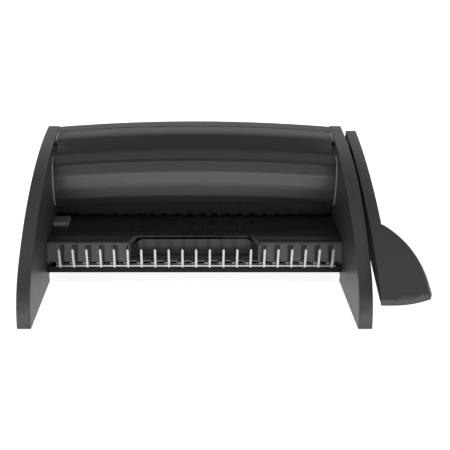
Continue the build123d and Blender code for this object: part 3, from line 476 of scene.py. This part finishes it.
def flat_bar(shape, middle, length, width, turn=0.0):
    """A printed bar lying on the label."""
    size = Matrix.Diagonal((length, width, 1, 1))
    place = Matrix.Translation(middle) @ Matrix.Rotation(turn, 4, "Z") @ size
    bmesh.ops.create_grid(shape, x_segments=1, y_segments=1, size=0.5, matrix=place)


def flat_frame(shape, middle, length, depth, line):
    """A printed frame lying on the label, made of four bars."""
    for side in (-1, 1):
        flat_bar(shape, middle + Vector((0, side * (depth - line) / 2, 0)), length, line)
        flat_bar(shape, middle + Vector((side * (length - line) / 2, 0, 0)), line, depth - 2 * line)


def sheet_sign(shape, middle, cell, depth, number):
    """A frame with two slanting sheets and a disc, each frame's sheets turned a little further."""
    flat_frame(shape, middle, cell * 0.94, depth, PRINT_LINE)
    sheet = middle + Vector((-cell * 0.06, depth * 0.08, 0))
    flat_bar(shape, sheet, cell * 0.52, depth * 0.16, turn=0.30 - 0.25 * number)
    under = sheet - Vector((0, depth * 0.20, 0))
    flat_bar(shape, under, cell * 0.40, depth * 0.07, turn=-0.5 + 0.3 * number)
    disc = Matrix.Translation(middle + Vector((cell * 0.22, -depth * 0.20, 0)))
    bmesh.ops.create_circle(shape, cap_ends=True, segments=20, radius=cell * 0.08, matrix=disc)


def label_print(low, high):
    """Plain panels, bars and sheet signs of the instruction label, without any lettering."""
    shape = bmesh.new()
    lift = high.z + PRINT_LIFT
    width = high.x - low.x
    depth = high.y - low.y
    centre = (low.x + high.x) / 2
    cell = width * CELL_SHARE
    row_depth = depth * ROW_SHARE
    row_y = high.y - depth * 0.05 - row_depth / 2
    for number in range(FRAME_COUNT):
        middle = Vector((high.x - (number + 0.56) * cell, row_y, lift))
        sheet_sign(shape, middle, cell, row_depth, number)
    text_left = low.x + width * 0.02
    text_right = high.x - (FRAME_COUNT + 0.2) * cell
    for number, share in enumerate(TEXT_BARS):
        reach = (text_right - text_left) * share
        bar_y = row_y + row_depth * (0.42 - BAR_STEP * number)
        flat_bar(shape, Vector((text_left + reach / 2, bar_y, lift)), reach, row_depth * 0.055)
    for number in range(2):
        rule_y = low.y + depth * (0.245 - 0.05 * number)
        flat_bar(shape, Vector((centre, rule_y, lift)), width * 0.96, RULE_LINE)
    flat_bar(shape, Vector((centre, low.y + depth * 0.09, lift)), width * 0.26, depth * 0.11)
    return shape


class BINDER_OT_deck(BinderOperator):
    """Paper deck with its beam, slot wall and edge guide."""

    bl_idname = "binder.deck"
    bl_label = "Deck"

    def execute(self, context):
        low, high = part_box("deck")
        beam_edge = lengthwise_at(high.z - BEAM_DROP)
        deck = rounded("deck", "deck_moulding", settings().edge_round,
                       special=((splayed_edge, SPLAY_ROUND), (beam_edge, BEAM_ROUND)))
        centre = (low.x + high.x) / 2
        # the beam's front faces outside the recess get a colour three times lighter than the deck: painted
        # light on their lit front, with a rougher matte finish
        beam_front_painted_light = moulded("beam plastic painted lighter", (0.045, 0.045, 0.047), 0.5, 0.3)
        repaint(deck, beam_front_painted_light, lambda face: abs(face.center.x - centre) > RECESS_HALF
                and face.normal.y < -0.05 and face.center.z < high.z - BEAM_TOP_LIP)
        wall = moulded("wall plastic", (0.012, 0.012, 0.013), 0.09, 0.0, uneven=0.01)
        rounded("slot_wall", "slot_wall_plate", settings().edge_round, finish=wall)
        rounded("edge_guide", "edge_guide_knob", settings().edge_round)
        keep("guide_keeper", "deck_label")
        low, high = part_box("deck_label")
        ink = moulded("label print", (0.001, 0.001, 0.001), 0.55, 0.02, 900.0, uneven=0.02)
        add_piece("deck_label_print", label_print(Vector(low), Vector(high)), "deck_label", finish=ink)
        return {"FINISHED"}


class BINDER_OT_comb_opener(BinderOperator):
    """Comb plate with its prongs, the hook slide and the channel under them."""

    bl_idname = "binder.comb_opener"
    bl_label = "Comb opener"

    def execute(self, context):
        rounded("comb_prongs", "comb_prong_row", settings().sheet_edge)
        rounded("comb_plate", "comb_plate_sheet", settings().sheet_edge)
        rounded("hook_slide", "hook_slide_sheet", settings().sheet_edge)
        rounded("comb_channel", "comb_channel_rail", settings().sheet_edge)
        keep("comb_plate_screws", "hook_racks", "slide_guides")
        return {"FINISHED"}


class BINDER_OT_lever(BinderOperator):
    """Lever with its paddle and hub screw."""

    bl_idname = "binder.lever"
    bl_label = "Lever"

    def execute(self, context):
        lever = rounded("lever", "lever_moulding", LEVER_ROUND, segments=3)
        # the lever's inward-facing side is near-black: painted shade for the shadow on the lever's inner
        # side
        shaded = moulded("lever inside painted shade", (0.004, 0.004, 0.004), 0.6, 0.3)
        repaint(lever, shaded, lambda face: face.normal.x < -0.9)
        rounded("lever_screw", "lever_hub_screw", settings().sheet_edge)
        keep("lever_shaft")
        return {"FINISHED"}


class BINDER_OT_punch(BinderOperator):
    """Punch: die, guide, bar, pins and racks."""

    bl_idname = "binder.punch"
    bl_label = "Punch"

    def execute(self, context):
        keep("die_plate", "punch_guide", "back_stop", "punch_bar", "punch_pins", "punch_racks")
        return {"FINISHED"}


class BINDER_OT_drive(BinderOperator):
    """Shafts, gears, bushes and rings."""

    bl_idname = "binder.drive"
    bl_label = "Drive"

    def execute(self, context):
        keep("punch_shaft", "hook_shaft", "lever_gear", "punch_gear", "idler_gear", "hook_gear",
             "punch_pinions", "hook_pinions", "shaft_bushes", "cap_bush", "idler_axle",
             "punch_shaft_clip", "hook_shaft_clip")
        return {"FINISHED"}


class BINDER_OT_base(BinderOperator):
    """Base pan and chip tray."""

    bl_idname = "binder.base"
    bl_label = "Base"

    def execute(self, context):
        rounded("base_pan", "base_pan_sheet", settings().sheet_edge)
        rounded("chip_tray", "chip_tray_bin", settings().edge_round)
        return {"FINISHED"}


class BINDER_OT_screws(BinderOperator):
    """Screws of the caps, rear cover and base."""

    bl_idname = "binder.screws"
    bl_label = "Screws"

    def execute(self, context):
        for node in ("cap_screws", "rear_cover_screws", "base_screws"):
            rounded(node, f"{node}_set", settings().sheet_edge)
        return {"FINISHED"}


# ------------------------------------------------------------------ stage
CAMERA_BACK = 0.6127            # in front of the origin
CAMERA_LEFT = 0.02565
CAMERA_HEIGHT = 0.3579
CAMERA_DIP = 26.0               # degrees below level
LENS = 51.2                     # mm, on a sensor 36 mm wide
SENSOR = 36.0
SHIFT = 0.0677

# brightness of the studio from the front horizon (first) over the top to the back horizon
SKY = (6.4, 1.0, 0.0, 0.2, 0.6, 1.3, 0.5, 0.0, 0.25, 1.9, 0.8, 0.5, 0.9)
WHITE = (1, 1, 1, 1)
PAPER = (0.93, 0.93, 0.93, 1)
FLOOR_GLOW = 0.85


def place_camera(scene):
    """The camera, in front of the machine and looking down at it."""
    lens = bpy.data.cameras.new("camera")
    lens.lens = LENS
    lens.sensor_width = SENSOR
    lens.shift_x = SHIFT
    camera = bpy.data.objects.new("camera", lens)
    camera.location = (-CAMERA_LEFT, -CAMERA_BACK, CAMERA_HEIGHT)
    camera.rotation_euler = (radians(90 - CAMERA_DIP), 0, 0)
    scene.collection.objects.link(camera)
    scene.camera = camera


def lay_floor(scene):
    """A pale paper floor that glows a little, so that it stays plain and white."""
    shape = bmesh.new()
    bmesh.ops.create_grid(shape, x_segments=1, y_segments=1, size=settings().floor_size / 2)
    mesh = bpy.data.meshes.new("floor")
    shape.to_mesh(mesh)
    shape.free()
    floor = bpy.data.objects.new("floor", mesh)
    scene.collection.objects.link(floor)
    paper = Finish("pale floor", roughness=0.9, emission_strength=FLOOR_GLOW)
    paper.set("Base Color", PAPER)
    paper.set("Emission Color", WHITE)
    mesh.materials.append(paper.material)


def light_studio(scene):
    """Soft light whose level follows the angle over the machine, behind a white backdrop."""
    world = bpy.data.worlds.new("studio")
    scene.world = world
    world.use_nodes = True
    tree = world.node_tree
    tree.nodes.clear()
    ground = tree.nodes.new("ShaderNodeBackground")
    output = tree.nodes.new("ShaderNodeOutputWorld")
    tree.links.new(ground.outputs[0], output.inputs[0])
    place = tree.nodes.new("ShaderNodeTexCoord")
    split = tree.nodes.new("ShaderNodeSeparateXYZ")
    tree.links.new(place.outputs["Generated"], split.inputs[0])
    depth = Wire(tree, split.outputs["Y"])
    height = Wire(tree, split.outputs["Z"])
    turn = height.math("ARCTAN2", height, 0.0 - depth)
    ramp = tree.nodes.new("ShaderNodeValToRGB")
    plug(tree, ramp.inputs[0], turn * (1 / pi))
    while len(ramp.color_ramp.elements) < len(SKY):
        ramp.color_ramp.elements.new(0.5)
    for number, level in enumerate(SKY):
        stop = ramp.color_ramp.elements[number]
        stop.position = number / (len(SKY) - 1)
        stop.color = (level, level, level, 1)
    sight = tree.nodes.new("ShaderNodeLightPath")
    backdrop = tree.nodes.new("ShaderNodeMix")
    backdrop.data_type = "RGBA"
    backdrop.inputs[7].default_value = WHITE
    tree.links.new(sight.outputs["Is Camera Ray"], backdrop.inputs[0])
    tree.links.new(ramp.outputs[0], backdrop.inputs[6])
    tree.links.new(backdrop.outputs[2], ground.inputs["Color"])


class BINDER_OT_stage(BinderOperator):
    """Pale floor, soft light and camera."""

    bl_idname = "binder.stage"
    bl_label = "Stage"

    def execute(self, context):
        place_camera(context.scene)
        lay_floor(context.scene)
        light_studio(context.scene)
        context.scene.view_settings.view_transform = "Standard"
        context.scene.view_settings.look = "None"
        return {"FINISHED"}


class BINDER_PT_panel(bpy.types.Panel):
    """Lists the machine's operators."""

    bl_idname = "BINDER_PT_panel"
    bl_label = "Comb binding machine"
    bl_space_type = "VIEW_3D"
    bl_region_type = "UI"
    bl_category = "Binder"

    def draw(self, context):
        for name in BinderSettings.__annotations__:
            self.layout.prop(context.scene.binder, name)
        for maker in MAKERS:
            self.layout.operator(maker.bl_idname)


MAKERS = (
    BINDER_OT_stage,
    BINDER_OT_side_panels,
    BINDER_OT_covers,
    BINDER_OT_deck,
    BINDER_OT_comb_opener,
    BINDER_OT_lever,
    BINDER_OT_punch,
    BINDER_OT_drive,
    BINDER_OT_base,
    BINDER_OT_screws,
)
CLASSES = (BinderSettings, *MAKERS, BINDER_PT_panel)


def register():
    for item in CLASSES:
        bpy.utils.register_class(item)
    bpy.types.Scene.binder = bpy.props.PointerProperty(type=BinderSettings)


def unregister():
    del bpy.types.Scene.binder
    for item in reversed(CLASSES):
        bpy.utils.unregister_class(item)


def main():
    register()
    for maker in MAKERS:
        group, name = maker.bl_idname.split(".")
        getattr(getattr(bpy.ops, group), name)()


if __name__ == "__main__":
    main()
